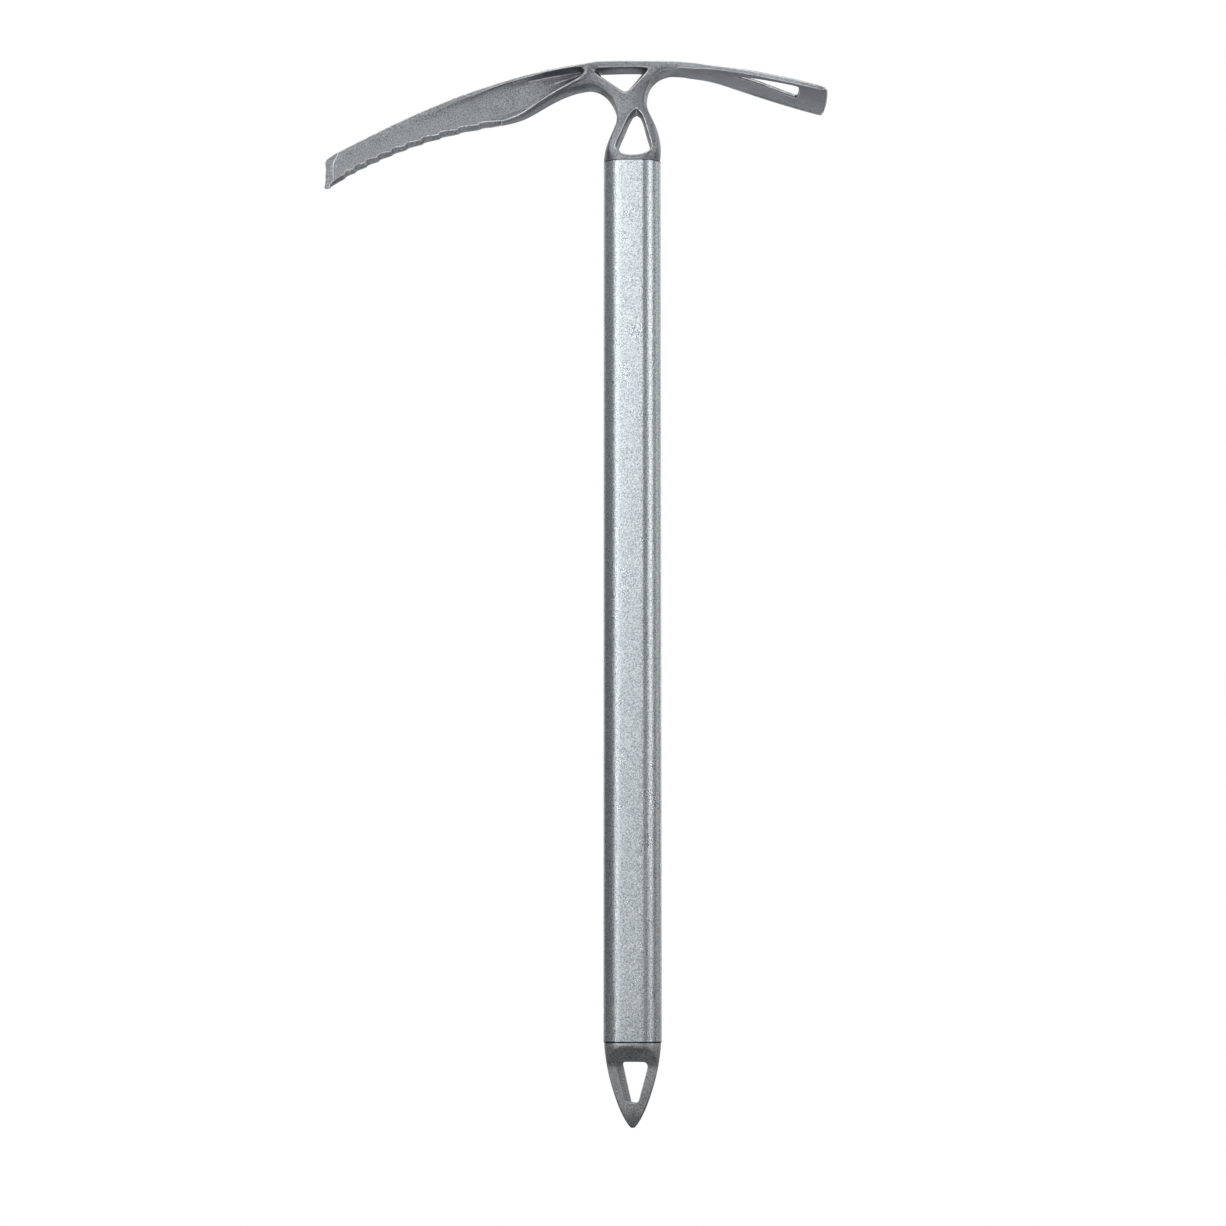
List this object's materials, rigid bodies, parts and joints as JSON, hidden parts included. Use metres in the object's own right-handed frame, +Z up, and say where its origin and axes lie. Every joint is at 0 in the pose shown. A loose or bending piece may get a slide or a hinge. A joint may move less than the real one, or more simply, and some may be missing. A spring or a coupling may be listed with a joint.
{
  "type": "ice axe",
  "caption": "Straight-shafted mountaineering ice axe: cast steel head with toothed pick, open neck and arched adze, on a rounded-oblong aluminium shaft with a pierced cast spike.",
  "frame": {"origin": "centre of the clip-in eye in the neck of the head, on the middle plane", "axes": "+Z up along the shaft from the spike to the head, -X along the pick, +X along the adze, Y across the thickness"},
  "size_m": [0.2623, 0.0574, 0.5508],
  "materials": {
    "cast_steel": "bead-blasted investment-cast stainless steel",
    "shaft_aluminium": "satin clear-anodised aluminium extrusion",
    "pin_steel": "turned stainless steel",
    "adhesive": "cured structural epoxy",
    "foam": "closed-cell foam"
  },
  "bodies": {
    "root": {"head_casting": "cast_steel", "spike_casting": "cast_steel", "shaft_tube": "shaft_aluminium", "head_bond": "adhesive", "spike_bond": "adhesive", "head_pin_upper": "pin_steel", "head_pin_lower": "pin_steel", "spike_pin": "pin_steel", "upper_stopper": "foam", "lower_stopper": "foam"}
  },
  "joints": []
}
